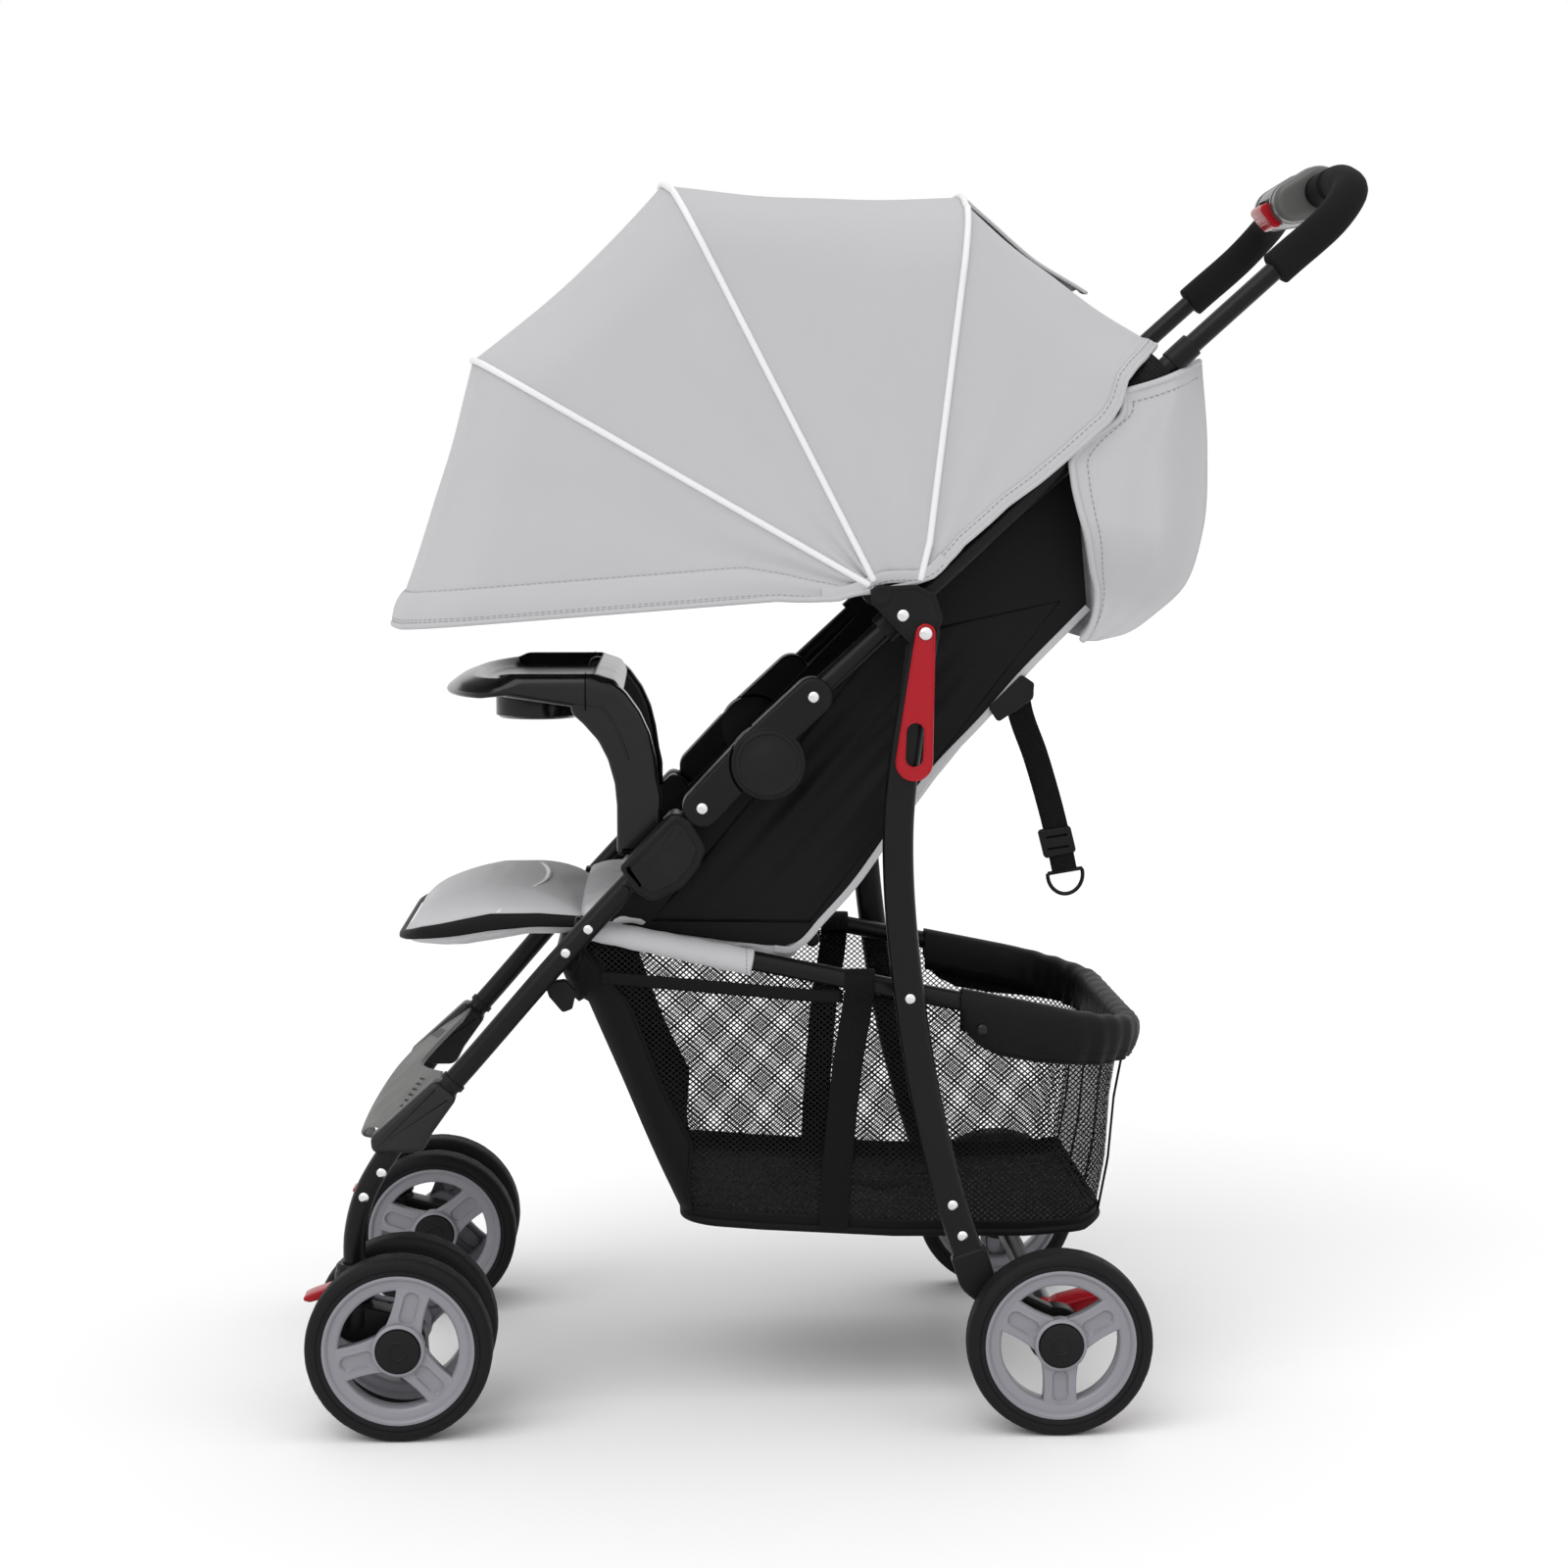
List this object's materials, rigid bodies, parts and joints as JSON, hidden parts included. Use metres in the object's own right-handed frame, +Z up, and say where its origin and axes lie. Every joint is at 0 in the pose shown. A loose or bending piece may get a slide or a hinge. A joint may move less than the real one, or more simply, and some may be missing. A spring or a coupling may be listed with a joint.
{
  "type": "travel stroller",
  "caption": "Folding travel stroller with twin swivel front wheels, reclining seat, fan canopy, tray, parent bag and mesh basket.",
  "frame": {"origin": "on the floor, at the centre of the bounds in plan", "axes": "+Z up, +X from the child's feet to the handle, -Y the child's left side"},
  "size_m": [0.8694, 0.492, 1.0327],
  "materials": {
    "frame": "satin",
    "plastic": "fine grain",
    "foam": "foam",
    "red": "gloss",
    "tyre": "foam rubber",
    "rim": "satin",
    "footrest": "fine grain",
    "grey_cloth": "woven",
    "black_cloth": "woven"
  },
  "bodies": {
    "front_frame": {"front_leg_left": "frame", "front_leg_right": "frame", "hinge_lower_left": "plastic", "hinge_lower_right": "plastic", "footrest": "footrest", "tray_socket_left": "plastic", "tray_socket_right": "plastic", "front_cross_bar": "frame", "caster_socket_left": "plastic", "caster_socket_right": "plastic"},
    "tray": {"tray": "plastic"},
    "push_frame": {"handle_tube": "frame", "grip_left": "foam", "grip_right": "foam", "handle_housing": "plastic", "hinge_upper_left": "plastic", "hinge_upper_right": "plastic", "leg_bracket_left": "plastic", "leg_bracket_right": "plastic", "parent_bag": "grey_cloth"},
    "fold_trigger": {"fold_trigger": "red"},
    "storage_latch": {"storage_latch": "red"},
    "rear_frame": {"rear_leg_left": "frame", "rear_leg_right": "frame", "rear_axle_frame": "plastic"},
    "brake_pedal": {"brake_pedal": "red"},
    "seat_rail": {"basket_rail": "frame", "basket": "black_cloth", "basket_rim_cover": "black_cloth", "seat_pad": "grey_cloth"},
    "seat_back": {"seat_bight": "black_cloth", "side_panel_left": "black_cloth", "side_panel_right": "black_cloth"},
    "backrest": {"backrest": "grey_cloth", "harness": "black_cloth", "recline_strap": "black_cloth"},
    "leg_rest": {"leg_rest": "grey_cloth"},
    "bow_rear": {"canopy_bow_rear": "frame", "canopy_rear": "grey_cloth"},
    "bow_middle": {"canopy_bow_middle": "frame", "canopy_top": "grey_cloth"},
    "bow_front": {"canopy_bow_front": "frame", "canopy_front": "grey_cloth"},
    "visor": {"canopy_visor": "grey_cloth"},
    "caster_left": {"caster_fork_left": "plastic"},
    "swivel_lock_left": {"swivel_lock_left": "red"},
    "front_wheel_left_outer": {"front_wheel_left_outer_rim": "rim", "front_wheel_left_outer_tyre": "tyre"},
    "front_wheel_left_inner": {"front_wheel_left_inner_rim": "rim", "front_wheel_left_inner_tyre": "tyre"},
    "rear_wheel_left": {"rear_wheel_left_rim": "rim", "rear_wheel_left_tyre": "tyre"},
    "caster_right": {"caster_fork_right": "plastic"},
    "swivel_lock_right": {"swivel_lock_right": "red"},
    "front_wheel_right_outer": {"front_wheel_right_outer_rim": "rim", "front_wheel_right_outer_tyre": "tyre"},
    "front_wheel_right_inner": {"front_wheel_right_inner_rim": "rim", "front_wheel_right_inner_tyre": "tyre"},
    "rear_wheel_right": {"rear_wheel_right_rim": "rim", "rear_wheel_right_tyre": "tyre"}
  },
  "joints": [
    {"name": "fold", "type": "hinge", "parent": "front_frame", "child": "push_frame", "pos_m": [-0.056, 0, 0.542], "axis": [0, 1, 0], "range_deg": [0, 110], "deforming": ["parent_bag"]},
    {"name": "rear_leg_fold", "type": "hinge", "parent": "push_frame", "child": "rear_frame", "pos_m": [0.0682, 0, 0.6458], "axis": [0, 1, 0], "range_deg": [-78.86, 0]},
    {"name": "rail_fold", "type": "hinge", "parent": "front_frame", "child": "seat_rail", "pos_m": [-0.2007, 0, 0.405], "axis": [0, 1, 0], "range_deg": [0, 70.01], "deforming": ["basket", "basket_rim_cover"]},
    {"name": "seat_back_fold", "type": "hinge", "parent": "seat_rail", "child": "seat_back", "pos_m": [-0.0176, 0, 0.3913], "axis": [0, 1, 0], "range_deg": [0, 40.01], "deforming": ["side_panel_left", "side_panel_right"]},
    {"name": "backrest_recline", "type": "hinge", "parent": "seat_back", "child": "backrest", "pos_m": [-0.0176, 0, 0.3913], "axis": [0, 1, 0], "range_deg": [0, 20]},
    {"name": "leg_rest_drop", "type": "hinge", "parent": "front_frame", "child": "leg_rest", "pos_m": [-0.2189, 0, 0.3882], "axis": [0, -1, 0], "range_deg": [0, 35]},
    {"name": "tray_lift", "type": "slide", "parent": "front_frame", "child": "tray", "axis": [0, 0, 1], "range_m": [0, 0.12]},
    {"name": "caster_swivel_left", "type": "hinge", "parent": "front_frame", "child": "caster_left", "pos_m": [-0.3915, -0.19, 0.105], "axis": [0, 0, 1], "continuous": true},
    {"name": "swivel_lock_left", "type": "hinge", "parent": "caster_left", "child": "swivel_lock_left", "pos_m": [-0.4079, -0.19, 0.119], "axis": [0, 1, 0], "range_deg": [0, 20]},
    {"name": "front_wheel_left_outer_spin", "type": "hinge", "parent": "caster_left", "child": "front_wheel_left_outer", "pos_m": [-0.353, -0.225, 0.075], "axis": [0, 1, 0], "continuous": true},
    {"name": "front_wheel_left_inner_spin", "type": "hinge", "parent": "caster_left", "child": "front_wheel_left_inner", "pos_m": [-0.353, -0.155, 0.075], "axis": [0, 1, 0], "continuous": true},
    {"name": "rear_wheel_left_spin", "type": "hinge", "parent": "rear_frame", "child": "rear_wheel_left", "pos_m": [0.178, -0.2305, 0.075], "axis": [0, 1, 0], "continuous": true},
    {"name": "caster_swivel_right", "type": "hinge", "parent": "front_frame", "child": "caster_right", "pos_m": [-0.3915, 0.19, 0.105], "axis": [0, 0, 1], "continuous": true},
    {"name": "swivel_lock_right", "type": "hinge", "parent": "caster_right", "child": "swivel_lock_right", "pos_m": [-0.4079, 0.19, 0.119], "axis": [0, 1, 0], "range_deg": [0, 20]},
    {"name": "front_wheel_right_outer_spin", "type": "hinge", "parent": "caster_right", "child": "front_wheel_right_outer", "pos_m": [-0.353, 0.225, 0.075], "axis": [0, 1, 0], "continuous": true},
    {"name": "front_wheel_right_inner_spin", "type": "hinge", "parent": "caster_right", "child": "front_wheel_right_inner", "pos_m": [-0.353, 0.155, 0.075], "axis": [0, 1, 0], "continuous": true},
    {"name": "rear_wheel_right_spin", "type": "hinge", "parent": "rear_frame", "child": "rear_wheel_right", "pos_m": [0.178, 0.2305, 0.075], "axis": [0, 1, 0], "continuous": true},
    {"name": "brake_pedal", "type": "hinge", "parent": "rear_frame", "child": "brake_pedal", "pos_m": [0.178, -0.15, 0.075], "axis": [0, 1, 0], "range_deg": [0, 20]},
    {"name": "canopy_fold", "type": "hinge", "parent": "push_frame", "child": "bow_rear", "pos_m": [0.0318, 0, 0.6796], "axis": [0, 1, 0], "range_deg": [0, 24], "deforming": ["canopy_rear"]},
    {"name": "canopy_fold_middle", "type": "hinge", "parent": "bow_rear", "child": "bow_middle", "pos_m": [0.0318, 0, 0.6796], "axis": [0, 1, 0], "range_deg": [0, 34.01], "deforming": ["canopy_top"]},
    {"name": "canopy_fold_front", "type": "hinge", "parent": "bow_middle", "child": "bow_front", "pos_m": [0.0318, 0, 0.6796], "axis": [0, 1, 0], "range_deg": [0, 26.01], "deforming": ["canopy_front"]},
    {"name": "canopy_fold_visor", "type": "hinge", "parent": "bow_front", "child": "visor", "pos_m": [0.0318, 0, 0.6796], "axis": [0, 1, 0], "range_deg": [0, 26.01], "deforming": ["canopy_visor"]},
    {"name": "fold_trigger", "type": "slide", "parent": "push_frame", "child": "fold_trigger", "axis": [0.7772, 0, 0.6292], "range_m": [0, 0.005], "stiffness_N_per_m": 800, "springref_m": -0.002},
    {"name": "storage_latch", "type": "hinge", "parent": "push_frame", "child": "storage_latch", "pos_m": [0.0682, -0.2171, 0.6458], "axis": [0, 1, 0], "range_deg": [-30, 60]}
  ],
  "couplings": [
    {"joint": "rear_leg_fold", "follows": "fold", "ratio": -0.7168},
    {"joint": "rail_fold", "follows": "fold", "ratio": 0.6364},
    {"joint": "seat_back_fold", "follows": "fold", "ratio": 0.3636},
    {"joint": "canopy_fold_middle", "follows": "canopy_fold", "ratio": 1.4167},
    {"joint": "canopy_fold_front", "follows": "canopy_fold", "ratio": 1.0833},
    {"joint": "canopy_fold_visor", "follows": "canopy_fold", "ratio": 1.0833}
  ]
}
